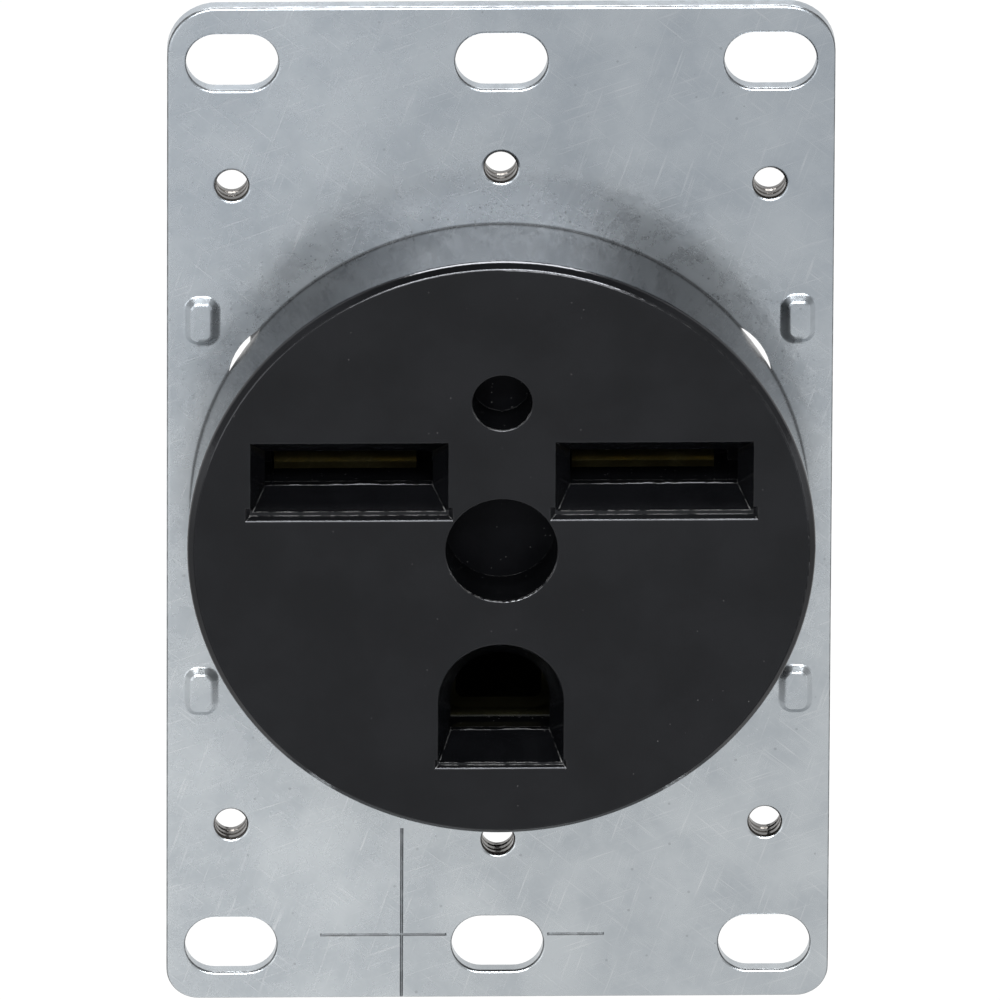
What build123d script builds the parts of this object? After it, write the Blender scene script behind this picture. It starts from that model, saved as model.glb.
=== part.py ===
from build123d import *
import os
from math import acos, atan2, cos, hypot, sin

# Flush-mount straight blade receptacle, in millimetres.
# X is the width, +Z is up and the face looks along -Y. The origin is the centre of the strap's back, where the
# strap meets the outlet box. A depth is a Y value: negative in front of the strap's back, positive behind it.

os.makedirs("parts", exist_ok=True)

# Mounting strap
strap_width = 57.15
strap_height = 93.6
strap_thickness = 1.3
strap_top_corner = 4.3
strap_bottom_corner = 2.8
strap_edge_round = 0.3

# Screw patterns of the outlet box and of the cover plate
box_screw_side_margin = 5.555
box_screw_end_margin = 5.13
box_slot_length = 7.9
box_slot_width = 5.2
plate_screw_corner_spacing = 60.33
plate_screw_centre_spacing = 63.5
plate_hole_radius = 1.375
plate_hole_rim_round = 0.38
plate_collar_radius = 2.0
plate_collar_length = 1.1

# Window in the strap, and the deeper notch in it for the ground pin
window_rail_width = 5.275
window_height = 34.9
window_corner = 5.5
ground_notch_width = 12.6
ground_notch_depth = 3.0

# Beads pressed into the narrow sides of the strap
bead_width = 3.0
bead_length = 4.6
bead_height = 0.55
bead_angle = 50
bead_corner = 1.2
bead_crest_round = 0.5
bead_foot_round = 0.35
bead_window_margin = 2.3
bead_spacing_z = 35.0

# Plain lines of the strip gauge, stamped into the strap's front
gauge_groove_width = 0.28
gauge_groove_depth = 0.14
gauge_groove_angle = 42
gauge_upright_x = -8.28
gauge_upright_top = -30.6
gauge_level_height = -40.75
gauge_level_left = -15.3
gauge_level_right = -4.4
gauge_tick_left = 4.3
gauge_tick_right = 9.2

# Round face
boss_radius = 26.99
boss_base_radius = 26.5
boss_projection = 9.4
boss_rim_chamfer = 0.6
boss_wall_round = 0.4
boss_face_round = 0.25

# Line slots: a funnel in the face, then a straight slot
line_slot_offset = 13.07
line_slot_height = 6.7
line_funnel_width = 17.0
line_funnel_height = 6.95
line_funnel_depth = 2.6
line_slot_width = 14.4
line_slot_opening = 3.2
line_lip = 0.42
face_wall = 3.4
opening_edge_round = 0.16
lip_edge_round = 0.25

# Ground opening: round at the top and flat at the bottom
ground_height = -14.68
ground_funnel_width = 10.8
ground_funnel_height = 11.5
ground_funnel_depth = 3.2
ground_slot_width = 8.53
ground_slot_height = 7.41
ground_lip = 0.28
ground_funnel_rise = 0.1

# Blind pockets moulded into the face
centre_pocket_radius = 4.78
centre_pocket_depth = 5.2
upper_pocket_radius = 2.55
upper_pocket_depth = 4.2
upper_pocket_height = 13.87

# Base behind the strap, narrow at the top and wide below its shoulder
base_depth = 26.5
base_rear_wall = 2.3
base_top = 17.5
base_bottom = -22.0
flange_thickness = 4.0
flange_top = 27.8
flange_bottom = -28.0
flange_corner = 3.0
upper_half_width = 19.9
lower_half_width = 21.2
shoulder_height = 9.8
wing_depth = 15.2
wing_chamfer = 1.25
base_edge_round = 0.8
tenon_clearance = 0.3
tenon_corner = 3.0

# Contact chambers
line_chamber_inner = 5.8
line_chamber_outer = 19.6
line_chamber_height = 4.9
line_chamber_depth = 16.2
ground_chamber_width = 11.2
ground_chamber_top = 4.0
ground_chamber_bottom = 5.3
ground_chamber_depth = 18.0
face_chamber_reach = 0.6

# Sheet metal of the contacts and of the springs behind them
contact_thickness = 1.0
contact_width = 12.2
contact_rest_gap = 0.9
contact_bend_radius = 1.4
contact_bend_depth = 13.4
contact_leaf_length = 17.4
contact_flare_radius = 1.6
contact_flare_angle = 32
left_contact_float = -0.24
right_contact_float = -0.86
spring_thickness = 0.4
spring_width = 5.6
spring_setback = 1.0

# Upright tail of a line contact, inside its lug
tail_root_start = 9.0
tail_root_end = 13.0
tail_root_sink = 0.2
tail_height = 4.2

# Ground contact: a trough round the pin, a foot on the strap and a tail to its lug
ground_trough_width = 8.4
ground_trough_top = 1.9
ground_trough_bottom = 4.1
ground_trough_thickness = 1.0
ground_trough_corner = 1.2
ground_trough_front = -1.0
ground_trough_rear = 9.6
ground_clip_front = 2.5
ground_clip_rear = 8.5
ground_foot_width = 10.0
ground_foot_bottom = -26.2
ground_tail_start = 7.0
ground_tail_lead = 2.6
ground_tail_offset = 6.6
ground_tail_bend_round = 2.0
foot_clearance = 0.15

# Rivets between the ground contact's foot and the strap
rivet_spacing = 5.2
rivet_height = -23.2
rivet_radius = 1.2
rivet_head_radius = 1.9
rivet_head_height = 0.8

# Box lugs, their pressure plates and their screws
lug_length = 8.0
lug_height = 7.0
lug_wall = 1.1
lug_inner_wall = 1.6
lug_thread_wall = 2.6
lug_wire_space = 5.0
lug_screw_travel = 0.6
lug_corner = 0.6
line_lug_height = 12.75
ground_lug_height = -13.3
lug_chamber_clearance = 0.2
lug_chamber_outer = 18.5
plate_thickness = 1.2
plate_side_clearance = 0.15
plate_groove_width = 0.5
plate_groove_depth = 0.3
plate_groove_spacing = 2.0
terminal_screw_radius = 2.38
terminal_screw_length = 5.2
terminal_screw_slot_width = 0.9
terminal_screw_slot_depth = 1.3
terminal_screw_clearance = 0.02
terminal_screw_end_chamfer = 0.3
driver_hole_radius = 2.9
wire_entry_radius = 2.25
wire_entry_chamfer = 0.6

# Screws that clamp the base and the face on the strap
assembly_spacing_x = 23.0
assembly_spacing_z = 43.0
assembly_screw_radius = 1.45
assembly_screw_clearance = 0.05
assembly_strap_hole_radius = 2.1
assembly_screw_reach = 5.2
assembly_head_radius = 2.75
assembly_head_height = 1.9
assembly_head_round = 0.5
assembly_recess_width = 0.8
assembly_recess_length = 3.2
assembly_recess_depth = 1.0
assembly_relief_radius = 3.3

# How far an edge may lie from the place where it is looked for
edge_match = 0.01

# Depths that follow from the sizes above
strap_back = 0.0
strap_front = strap_back - strap_thickness
face_front = strap_front - boss_projection
face_ceiling = face_front + face_wall
chamber_floor = base_depth - base_rear_wall
lug_depth_end = chamber_floor - lug_chamber_clearance
lug_depth_start = lug_depth_end - lug_length
lug_depth_centre = lug_depth_end - lug_length / 2
ground_tail_bend_end = lug_depth_start - ground_tail_lead

# Spacings, levels and widths that follow from the sizes above
gang_spacing = strap_width - 2 * box_screw_side_margin
box_screw_spacing = strap_height - 2 * box_screw_end_margin
window_width = strap_width - 2 * window_rail_width
bead_spacing_x = window_width + 2 * bead_window_margin
line_chamber_bottom = line_slot_height - line_chamber_height / 2
line_chamber_top = line_slot_height + line_chamber_height / 2
lug_inner_height = lug_height - 2 * lug_wall

# The line contacts hang a little to one side inside their chambers
sides = {"left": -1, "right": 1}
contact_float = {"left": left_contact_float, "right": right_contact_float}
contact_centre = {
    side: sign * line_slot_offset + contact_float[side] for side, sign in sides.items()
}

# Each terminal lies round a tail: its side, the tail's inner edge and thickness, and the lug's height
ground_tail_edge = ground_tail_offset - ground_trough_thickness / 2
terminals = {
    "left": (-1, abs(contact_centre["left"]) - contact_width / 2, contact_thickness, line_lug_height),
    "right": (1, abs(contact_centre["right"]) - contact_width / 2, contact_thickness, line_lug_height),
    "ground": (1, ground_tail_edge, ground_trough_thickness, ground_lug_height),
}
lug_chamber_inner = (
    min(tail_edge for side, tail_edge, thickness, height in terminals.values())
    - lug_inner_wall
    - lug_chamber_clearance
)


def at_depth(depth):
    """Upright plane at a depth, seen from the front: local X is the width, local Y is up."""
    return Plane.XZ.offset(-depth)


def side_plane(x, height=0.0):
    """Plane across the width: local X is the depth, local Y is up."""
    return Plane(origin=(x, 0, height), x_dir=(0, 1, 0), z_dir=(1, 0, 0))


def finish(part, label):
    """Name a finished piece and write it."""
    part.label = label
    export_step(part, f"parts/{label}.step")


def rectangle_between(left, right, bottom, top, mode=Mode.ADD):
    """Rectangle from its four sides."""
    with Locations(((left + right) / 2, (bottom + top) / 2)):
        Rectangle(right - left, top - bottom, mode=mode)


def rectangle_beside(side, near, far, bottom, top, mode=Mode.ADD):
    """Rectangle on one side of the middle, from its near and far distances and its two levels."""
    rectangle_between(min(side * near, side * far), max(side * near, side * far), bottom, top, mode=mode)


def waisted_outline(bottom, top, shrink=0.0):
    """Outline that is narrow above the shoulder and wide below it."""
    upper = upper_half_width - shrink
    lower = lower_half_width - shrink
    rectangle_between(-upper, upper, bottom, top)
    rectangle_between(-lower, lower, bottom, shoulder_height - shrink)


def arched_outline(width, height):
    """Opening with a half-round top and a flat bottom, centred on its own height."""
    spring_line = height / 2 - width / 2
    with Locations((0, spring_line)):
        Circle(width / 2)
    rectangle_between(-width / 2, width / 2, -height / 2, spring_line)
    rectangle_between(-width / 2, width / 2, -height / 2 - width, -height / 2, mode=Mode.SUBTRACT)


def leaf_lean():
    """Angle at which the leaves close from the bend to the gap at their tips."""
    tip_height = (contact_rest_gap + contact_thickness) / 2
    reach = hypot(contact_bend_radius, contact_leaf_length)
    return acos(tip_height / reach) - atan2(contact_leaf_length, contact_bend_radius)


def hairpin_line(outward=0.0, setback=0.0, flared=True):
    """Centre line of two leaves joined by a rear bend; outward moves it off the contact's own line."""
    lean = leaf_lean()
    bend_radius = contact_bend_radius + outward
    leaf = contact_leaf_length - setback
    lower_start = Vector(contact_bend_depth - bend_radius * sin(lean), -bend_radius * cos(lean))
    lower_tip = lower_start + Vector(-cos(lean), sin(lean)) * leaf
    upper_start = Vector(lower_start.X, -lower_start.Y)
    upper_tip = Vector(lower_tip.X, -lower_tip.Y)
    with BuildLine() as hairpin:
        Line(lower_tip, lower_start)
        ThreePointArc(lower_start, (contact_bend_depth + bend_radius, 0), upper_start)
        Line(upper_start, upper_tip)
        if flared:
            JernArc(lower_tip, (-cos(lean), sin(lean)), contact_flare_radius, contact_flare_angle)
            JernArc(upper_tip, (-cos(lean), -sin(lean)), contact_flare_radius, -contact_flare_angle)
    return hairpin.line


def trough_line(outward=0.0, top=ground_trough_top):
    """Centre line of the ground contact's section, seen from the front."""
    half_width = ground_trough_width / 2 + outward
    bottom = -ground_trough_bottom - outward
    corner = ground_trough_corner + outward
    with BuildLine() as trough:
        FilletPolyline(
            (-half_width, top),
            (-half_width, bottom),
            (half_width, bottom),
            (half_width, top),
            radius=corner,
        )
    return trough.line


# Mounting strap
with BuildPart() as mounting_strap:
    with BuildSketch(at_depth(strap_back)) as strap_outline:
        Rectangle(strap_width, strap_height)
        fillet(strap_outline.vertices().group_by(Axis.Y)[-1], strap_top_corner)
        fillet(strap_outline.vertices().group_by(Axis.Y)[0], strap_bottom_corner)
        with GridLocations(gang_spacing / 2, box_screw_spacing, 3, 2):
            SlotOverall(box_slot_length, box_slot_width, mode=Mode.SUBTRACT)
    extrude(amount=strap_thickness)
    fillet(mounting_strap.faces().sort_by(Axis.Y)[0].edges(), strap_edge_round)

    # Window, clearance holes for the assembly screws and rivet holes
    with BuildSketch(at_depth(strap_back)):
        RectangleRounded(window_width, window_height, window_corner)
        rectangle_between(
            -ground_notch_width / 2,
            ground_notch_width / 2,
            -window_height / 2 - ground_notch_depth,
            0,
        )
        with GridLocations(assembly_spacing_x, assembly_spacing_z, 2, 2):
            Circle(assembly_strap_hole_radius)
        with Locations((0, rivet_height)):
            with GridLocations(rivet_spacing, 0, 2, 1):
                Circle(rivet_radius)
    extrude(amount=strap_thickness, mode=Mode.SUBTRACT)

    # Collars drawn out to the back round the cover-plate screws, and the holes through them
    with BuildSketch(at_depth(strap_back)):
        with GridLocations(gang_spacing, plate_screw_corner_spacing, 2, 2):
            Circle(plate_collar_radius)
        with GridLocations(0, plate_screw_centre_spacing, 1, 2):
            Circle(plate_collar_radius)
    extrude(amount=-plate_collar_length)
    with BuildSketch(at_depth(strap_back + plate_collar_length)):
        with GridLocations(gang_spacing, plate_screw_corner_spacing, 2, 2):
            Circle(plate_hole_radius)
        with GridLocations(0, plate_screw_centre_spacing, 1, 2):
            Circle(plate_hole_radius)
    extrude(amount=strap_thickness + plate_collar_length, mode=Mode.SUBTRACT)
    plate_hole_rims = (
        mounting_strap.edges()
        .filter_by(GeomType.CIRCLE)
        .filter_by(lambda rim: abs(rim.radius - plate_hole_radius) < edge_match)
        .filter_by(lambda rim: abs(rim.center().Y - strap_front) < edge_match)
    )
    fillet(plate_hole_rims, plate_hole_rim_round)

    # Beads: raised on the front, hollow behind
    with BuildSketch(at_depth(strap_front)):
        with GridLocations(bead_spacing_x, bead_spacing_z, 2, 2):
            RectangleRounded(bead_width, bead_length, bead_corner)
    extrude(amount=bead_height, taper=bead_angle)
    bead_crests = mounting_strap.edges().filter_by(
        lambda edge: abs(edge.center().Y - strap_front + bead_height) < edge_match
    )
    fillet(bead_crests, bead_crest_round)
    bead_feet = (
        mounting_strap.edges()
        .filter_by(lambda edge: abs(edge.center().Y - strap_front) < edge_match)
        .filter_by(lambda edge: abs(abs(edge.center().X) - bead_spacing_x / 2) < bead_width)
        .filter_by(lambda edge: abs(abs(edge.center().Z) - bead_spacing_z / 2) < bead_length)
    )
    fillet(bead_feet, bead_foot_round)
    with BuildSketch(at_depth(strap_back)):
        with GridLocations(bead_spacing_x, bead_spacing_z, 2, 2):
            RectangleRounded(bead_width - 2 * bead_height, bead_length - 2 * bead_height, bead_corner / 2)
    extrude(amount=bead_height, taper=bead_angle, mode=Mode.SUBTRACT)

    # Strip-gauge lines; the upright one runs off the strap's lower edge
    with BuildSketch(at_depth(strap_front)):
        rectangle_between(
            gauge_upright_x - gauge_groove_width / 2,
            gauge_upright_x + gauge_groove_width / 2,
            -strap_height / 2 - gauge_groove_width,
            gauge_upright_top,
        )
        for level_left, level_right in (
            (gauge_level_left, gauge_level_right),
            (gauge_tick_left, gauge_tick_right),
        ):
            rectangle_between(
                level_left,
                level_right,
                gauge_level_height - gauge_groove_width / 2,
                gauge_level_height + gauge_groove_width / 2,
            )
    extrude(amount=-gauge_groove_depth, taper=gauge_groove_angle, mode=Mode.SUBTRACT)
finish(mounting_strap.part, "mounting_strap")

# Face housing
with BuildPart() as face_housing:
    with BuildSketch(at_depth(strap_front)):
        Circle(boss_base_radius)
    with BuildSketch(at_depth(face_front)):
        Circle(boss_radius)
    loft(ruled=True)
    front_rim = face_housing.edges().filter_by(GeomType.CIRCLE).sort_by(Axis.Y)[0]
    chamfer(front_rim, boss_rim_chamfer)
    wall_rim = face_housing.edges().filter_by(GeomType.CIRCLE).sort_by(Axis.Y)[1]
    fillet(wall_rim, boss_wall_round)
    face_rim = face_housing.edges().filter_by(GeomType.CIRCLE).sort_by(Axis.Y)[0]
    fillet(face_rim, boss_face_round)

    # Tenon through the strap's window
    with BuildSketch(at_depth(strap_back)) as tenon_outline:
        waisted_outline(
            -window_height / 2 + tenon_clearance,
            window_height / 2 - tenon_clearance,
            shrink=tenon_clearance,
        )
        fillet(tenon_outline.vertices().group_by(Axis.Y)[-1], tenon_corner)
        fillet(tenon_outline.vertices().group_by(Axis.Y)[0], tenon_corner)
    extrude(amount=strap_thickness)

    # Line slots: funnel, straight slot, flared lower lip and the chamber behind
    for side in sides.values():
        slot_centre = (side * line_slot_offset, line_slot_height)
        with BuildSketch(at_depth(face_front)):
            with Locations(slot_centre):
                Rectangle(line_funnel_width, line_funnel_height)
        with BuildSketch(at_depth(face_front + line_funnel_depth)):
            with Locations(slot_centre):
                Rectangle(line_slot_width, line_slot_opening)
        loft(mode=Mode.SUBTRACT)
        with BuildSketch(at_depth(face_ceiling)):
            with Locations(slot_centre):
                Rectangle(line_slot_width, line_slot_opening)
        extrude(amount=face_wall - line_funnel_depth, mode=Mode.SUBTRACT)
        lip_bottom = line_slot_height - line_funnel_height / 2 - line_lip
        with BuildSketch(at_depth(face_front)):
            rectangle_between(
                slot_centre[0] - line_funnel_width / 2 - line_lip,
                slot_centre[0] + line_funnel_width / 2 + line_lip,
                lip_bottom,
                lip_bottom + 3 * line_lip,
            )
        extrude(amount=-line_lip, taper=45, mode=Mode.SUBTRACT)

    # Ground opening
    with BuildSketch(at_depth(face_front)):
        with Locations((0, ground_height + ground_funnel_rise)):
            arched_outline(ground_funnel_width, ground_funnel_height)
    with BuildSketch(at_depth(face_front + ground_funnel_depth)):
        with Locations((0, ground_height)):
            arched_outline(ground_slot_width, ground_slot_height)
    loft(mode=Mode.SUBTRACT)
    with BuildSketch(at_depth(face_front + ground_funnel_depth + face_chamber_reach)):
        with Locations((0, ground_height)):
            arched_outline(ground_slot_width, ground_slot_height)
    extrude(amount=face_chamber_reach, mode=Mode.SUBTRACT)
    ground_lip_bottom = ground_height + ground_funnel_rise - ground_funnel_height / 2 - ground_lip
    with BuildSketch(at_depth(face_front)):
        rectangle_between(
            -ground_funnel_width / 2 - ground_lip,
            ground_funnel_width / 2 + ground_lip,
            ground_lip_bottom,
            ground_lip_bottom + 3 * ground_lip,
        )
    extrude(amount=-ground_lip, taper=45, mode=Mode.SUBTRACT)

    # Blind pockets
    with BuildSketch(at_depth(face_front)):
        Circle(centre_pocket_radius)
    extrude(amount=-centre_pocket_depth, mode=Mode.SUBTRACT)
    with BuildSketch(at_depth(face_front)):
        with Locations((0, upper_pocket_height)):
            Circle(upper_pocket_radius)
    extrude(amount=-upper_pocket_depth, mode=Mode.SUBTRACT)
    opening_edges = face_housing.faces().sort_by(Axis.Y)[0].inner_wires().edges()
    level_edges = opening_edges.filter_by(Axis.X).filter_by(lambda edge: edge.length > ground_funnel_width)
    lip_edges = level_edges.filter_by(lambda edge: edge.center().Z < line_slot_height)
    fillet(lip_edges, lip_edge_round)
    opening_edges = face_housing.faces().sort_by(Axis.Y)[0].inner_wires().edges()
    level_edges = opening_edges.filter_by(Axis.X).filter_by(lambda edge: edge.center().Z > line_slot_height)
    fillet(opening_edges.filter_by(GeomType.CIRCLE) + level_edges, opening_edge_round)

    # Chambers for the front ends of the contacts
    with BuildSketch(at_depth(strap_back)):
        for side in sides.values():
            rectangle_beside(
                side,
                line_chamber_inner,
                line_chamber_outer,
                line_chamber_bottom,
                line_chamber_top,
            )
    extrude(amount=-face_ceiling, mode=Mode.SUBTRACT)
    with BuildSketch(at_depth(strap_front)):
        for side in sides.values():
            with Locations((side * line_slot_offset, line_slot_height)):
                Rectangle(line_slot_width + 2 * tenon_clearance, line_chamber_height)
    extrude(amount=strap_front - face_ceiling, mode=Mode.SUBTRACT)
    ground_ceiling = face_front + ground_funnel_depth + face_chamber_reach
    with BuildSketch(at_depth(strap_back)):
        rectangle_between(
            -ground_chamber_width / 2,
            ground_chamber_width / 2,
            ground_height - ground_chamber_bottom,
            ground_height + ground_chamber_top,
        )
    extrude(amount=-ground_ceiling, mode=Mode.SUBTRACT)

    # Screw holes and pockets over the rivet heads, open to the back
    with BuildSketch(at_depth(strap_front)):
        with GridLocations(assembly_spacing_x, assembly_spacing_z, 2, 2):
            Circle(assembly_screw_radius + assembly_screw_clearance)
    extrude(amount=assembly_screw_reach + assembly_screw_clearance, mode=Mode.SUBTRACT)
    with BuildSketch(at_depth(strap_front)):
        with Locations((0, rivet_height)):
            with GridLocations(rivet_spacing, 0, 2, 1):
                Circle(rivet_head_radius + foot_clearance)
    extrude(amount=rivet_head_height + foot_clearance, mode=Mode.SUBTRACT)
finish(face_housing.part, "face_housing")

# Base housing
with BuildPart() as base_housing:
    with BuildSketch(at_depth(strap_back)) as flange_outline:
        waisted_outline(flange_bottom, flange_top)
        fillet(flange_outline.vertices().group_by(Axis.Y)[-1], flange_corner)
        fillet(flange_outline.vertices().group_by(Axis.Y)[0], flange_corner)
    extrude(amount=-flange_thickness)
    with BuildSketch(at_depth(strap_back)):
        waisted_outline(base_bottom, base_top)
    extrude(amount=-wing_depth)
    wing_edges = (
        base_housing.edges()
        .filter_by(Axis.Z)
        .filter_by(lambda edge: abs(edge.center().Y - wing_depth) < edge_match)
        .filter_by(lambda edge: abs(abs(edge.center().X) - lower_half_width) < edge_match)
    )
    chamfer(wing_edges, wing_chamfer)
    with BuildSketch(at_depth(strap_back)):
        rectangle_between(-upper_half_width, upper_half_width, base_bottom, base_top)
    extrude(amount=-base_depth)
    rear_edges = base_housing.faces().sort_by(Axis.Y)[-1].outer_wire().edges()
    fillet(rear_edges, base_edge_round)

    # Reliefs for the heads of the lower assembly screws
    with BuildSketch(at_depth(base_depth)):
        for side in sides.values():
            with Locations((side * assembly_spacing_x / 2, -assembly_spacing_z / 2)):
                Circle(assembly_relief_radius)
            rectangle_beside(
                side,
                assembly_spacing_x / 2 - assembly_relief_radius,
                assembly_spacing_x / 2 + assembly_relief_radius,
                flange_bottom,
                -assembly_spacing_z / 2,
            )
    extrude(amount=base_depth - flange_thickness, mode=Mode.SUBTRACT)
    with BuildSketch(at_depth(flange_thickness)):
        with GridLocations(assembly_spacing_x, assembly_spacing_z, 2, 2):
            Circle(assembly_screw_radius + assembly_screw_clearance)
    extrude(amount=flange_thickness, mode=Mode.SUBTRACT)

    # Line contact chambers
    with BuildSketch(at_depth(line_chamber_depth)):
        for side in sides.values():
            rectangle_beside(
                side,
                line_chamber_inner,
                line_chamber_outer,
                line_chamber_bottom,
                line_chamber_top,
            )
    extrude(amount=line_chamber_depth, mode=Mode.SUBTRACT)

    # Ground contact chamber
    with BuildSketch(at_depth(ground_chamber_depth)):
        rectangle_between(
            -ground_chamber_width / 2,
            ground_chamber_width / 2,
            ground_height - ground_chamber_bottom,
            ground_height + ground_chamber_top,
        )
    extrude(amount=ground_chamber_depth, mode=Mode.SUBTRACT)

    # Recess for the ground contact's foot and for the tails of its rivets
    foot_recess_depth = ground_trough_thickness + foot_clearance
    with BuildSketch(at_depth(foot_recess_depth)):
        rectangle_between(
            -ground_foot_width / 2 - foot_clearance,
            ground_foot_width / 2 + foot_clearance,
            ground_foot_bottom - foot_clearance,
            ground_height,
        )
    extrude(amount=foot_recess_depth, mode=Mode.SUBTRACT)
    with BuildSketch(at_depth(foot_recess_depth + rivet_head_height)):
        with Locations((0, rivet_height)):
            with GridLocations(rivet_spacing, 0, 2, 1):
                Circle(rivet_head_radius + foot_clearance)
    extrude(amount=rivet_head_height, mode=Mode.SUBTRACT)

    # Lug chambers, with a wire entry from the rear and a driver hole from the side
    for side, tail_edge, thickness, height in terminals.values():
        reach = lug_height / 2 + lug_chamber_clearance
        with BuildSketch(at_depth(chamber_floor)):
            rectangle_beside(side, lug_chamber_inner, lug_chamber_outer, height - reach, height + reach)
        extrude(amount=chamber_floor, mode=Mode.SUBTRACT)
        wire_centre = side * (tail_edge + thickness + lug_wire_space / 2)
        with BuildSketch(at_depth(base_depth)):
            with Locations((wire_centre, height)):
                Circle(wire_entry_radius)
        extrude(amount=base_rear_wall, mode=Mode.SUBTRACT)
        with BuildSketch(side_plane(side * lug_chamber_outer, height)):
            with Locations((lug_depth_centre, 0)):
                Circle(driver_hole_radius)
        extrude(amount=side * lower_half_width, mode=Mode.SUBTRACT)
    wire_entry_rims = (
        base_housing.edges()
        .filter_by(GeomType.CIRCLE)
        .filter_by(lambda rim: abs(rim.center().Y - base_depth) < edge_match)
        .filter_by(lambda rim: abs(rim.radius - wire_entry_radius) < edge_match)
    )
    chamfer(wire_entry_rims, wire_entry_chamfer)
finish(base_housing.part, "base_housing")

# Line contacts: a hairpin of brass strip with an upright tail, and a steel spring behind its leaves
for name, sign in sides.items():
    centre = contact_centre[name]
    tail_x = sign * terminals[name][1]
    with BuildPart() as line_contact:
        with BuildSketch(side_plane(centre, line_slot_height)):
            trace(hairpin_line(), line_width=contact_thickness)
        extrude(amount=contact_width / 2, both=True)
        with BuildSketch(side_plane(tail_x)):
            rectangle_between(
                tail_root_start,
                tail_root_end,
                line_slot_height + contact_bend_radius - tail_root_sink,
                line_lug_height + tail_height / 2,
            )
            rectangle_between(
                tail_root_start,
                lug_depth_end,
                line_lug_height - tail_height / 2,
                line_lug_height + tail_height / 2,
            )
        extrude(amount=sign * contact_thickness)
    finish(line_contact.part, f"line_contact_{name}")

    with BuildPart() as line_spring:
        with BuildSketch(side_plane(centre, line_slot_height)):
            trace(
                hairpin_line((contact_thickness + spring_thickness) / 2, spring_setback, flared=False),
                line_width=spring_thickness,
            )
        extrude(amount=spring_width / 2, both=True)
    finish(line_spring.part, f"line_spring_{name}")

# Ground contact: trough, foot and tail from one strip
with BuildPart() as ground_contact:
    with BuildSketch(Plane(at_depth(ground_trough_rear).location * Location((0, ground_height)))):
        trace(trough_line(), line_width=ground_trough_thickness)
    extrude(amount=ground_trough_rear - ground_trough_front)
    with BuildSketch(at_depth(ground_trough_thickness)):
        rectangle_between(
            -ground_foot_width / 2,
            ground_foot_width / 2,
            ground_foot_bottom,
            ground_height - ground_trough_bottom,
        )
        with Locations((0, rivet_height)):
            with GridLocations(rivet_spacing, 0, 2, 1):
                Circle(rivet_radius, mode=Mode.SUBTRACT)
    extrude(amount=ground_trough_thickness)
    with BuildSketch(Plane.XY.offset(ground_lug_height - tail_height / 2)):
        with BuildLine() as ground_tail_line:
            FilletPolyline(
                (ground_trough_width / 2, ground_tail_start),
                (ground_trough_width / 2, ground_trough_rear),
                (ground_tail_offset, ground_tail_bend_end),
                (ground_tail_offset, lug_depth_end),
                radius=ground_tail_bend_round,
            )
        trace(line_width=ground_trough_thickness)
    extrude(amount=tail_height)
finish(ground_contact.part, "ground_contact")

with BuildPart() as ground_spring:
    with BuildSketch(Plane(at_depth(ground_clip_rear).location * Location((0, ground_height)))):
        trace(
            trough_line((ground_trough_thickness + spring_thickness) / 2),
            line_width=spring_thickness,
        )
    extrude(amount=ground_clip_rear - ground_clip_front)
finish(ground_spring.part, "ground_spring")

# Terminals: a box lug round each tail, a grooved pressure plate and a slotted set screw
for name, (side, tail_edge, thickness, height) in terminals.items():
    ring_start = tail_edge - lug_inner_wall
    wire_end = tail_edge + thickness + lug_wire_space
    thread_start = wire_end + plate_thickness + lug_screw_travel
    ring_end = thread_start + lug_thread_wall
    with BuildPart() as terminal_lug:
        with BuildSketch(at_depth(lug_depth_end)) as lug_section:
            rectangle_beside(side, ring_start, ring_end, height - lug_height / 2, height + lug_height / 2)
            fillet(lug_section.vertices(), lug_corner)
            rectangle_beside(
                side,
                tail_edge,
                thread_start,
                height - lug_inner_height / 2,
                height + lug_inner_height / 2,
                mode=Mode.SUBTRACT,
            )
        extrude(amount=lug_length)
        with BuildSketch(side_plane(side * thread_start, height)):
            with Locations((lug_depth_centre, 0)):
                Circle(terminal_screw_radius + terminal_screw_clearance)
        extrude(amount=side * lug_thread_wall, mode=Mode.SUBTRACT)
    finish(terminal_lug.part, f"terminal_lug_{name}")

    with BuildPart() as pressure_plate:
        with BuildSketch(side_plane(side * wire_end, height)):
            with Locations((lug_depth_centre, 0)):
                Rectangle(lug_length - 4 * plate_side_clearance, lug_inner_height - 2 * plate_side_clearance)
        extrude(amount=side * plate_thickness)
        with BuildSketch(side_plane(side * wire_end, height)):
            with Locations((lug_depth_centre, 0)):
                with GridLocations(plate_groove_spacing, 0, 3, 1):
                    Rectangle(plate_groove_width, lug_inner_height)
        extrude(amount=side * plate_groove_depth, mode=Mode.SUBTRACT)
    finish(pressure_plate.part, f"pressure_plate_{name}")

    with BuildPart() as terminal_screw:
        with BuildSketch(side_plane(side * (wire_end + plate_thickness), height)):
            with Locations((lug_depth_centre, 0)):
                Circle(terminal_screw_radius)
        extrude(amount=side * terminal_screw_length)
        chamfer(terminal_screw.edges().filter_by(GeomType.CIRCLE), terminal_screw_end_chamfer)
        screw_end = side * (wire_end + plate_thickness + terminal_screw_length)
        with BuildSketch(side_plane(screw_end, height)):
            with Locations((lug_depth_centre, 0)):
                Rectangle(3 * terminal_screw_radius, terminal_screw_slot_width)
        extrude(amount=-side * terminal_screw_slot_depth, mode=Mode.SUBTRACT)
    finish(terminal_screw.part, f"terminal_screw_{name}")

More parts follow.
